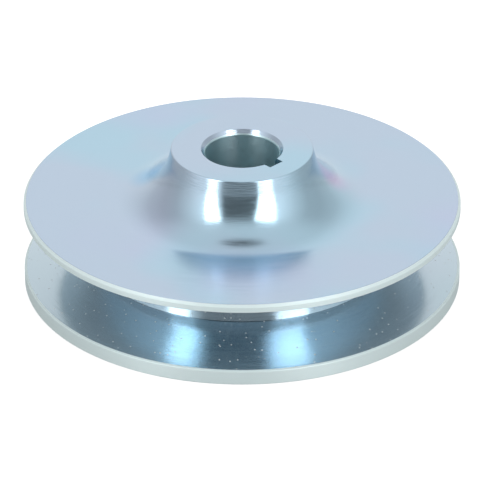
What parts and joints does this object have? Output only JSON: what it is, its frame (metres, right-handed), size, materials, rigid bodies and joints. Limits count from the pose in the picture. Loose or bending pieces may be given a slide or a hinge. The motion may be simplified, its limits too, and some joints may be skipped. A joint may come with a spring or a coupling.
{
  "type": "v belt pulley",
  "caption": "Single-groove V-belt pulley with a raised filleted hub and a keyed through bore, built as a hub half and a loose flange on its spigot.",
  "frame": {"origin": "on the pulley's axis, in the plane of the lower flange's outer face, which it stands on", "axes": "+Z along the bore axis, from the resting face towards the hub's end face; the keyway points 45 degrees from +X towards -Y"},
  "size_m": [0.1, 0.1, 0.0333],
  "materials": {
    "hub_half": "turned, blue-clear zinc plate",
    "loose_flange": "turned, blue-clear zinc plate"
  },
  "bodies": {
    "flange": {"loose_flange": "loose_flange"},
    "hub": {"hub_half": "hub_half"}
  },
  "joints": [
    {"name": "flange_slide", "type": "slide", "parent": "flange", "child": "hub", "axis": [0, 0, 1], "range_m": [0, 0.0065]}
  ]
}
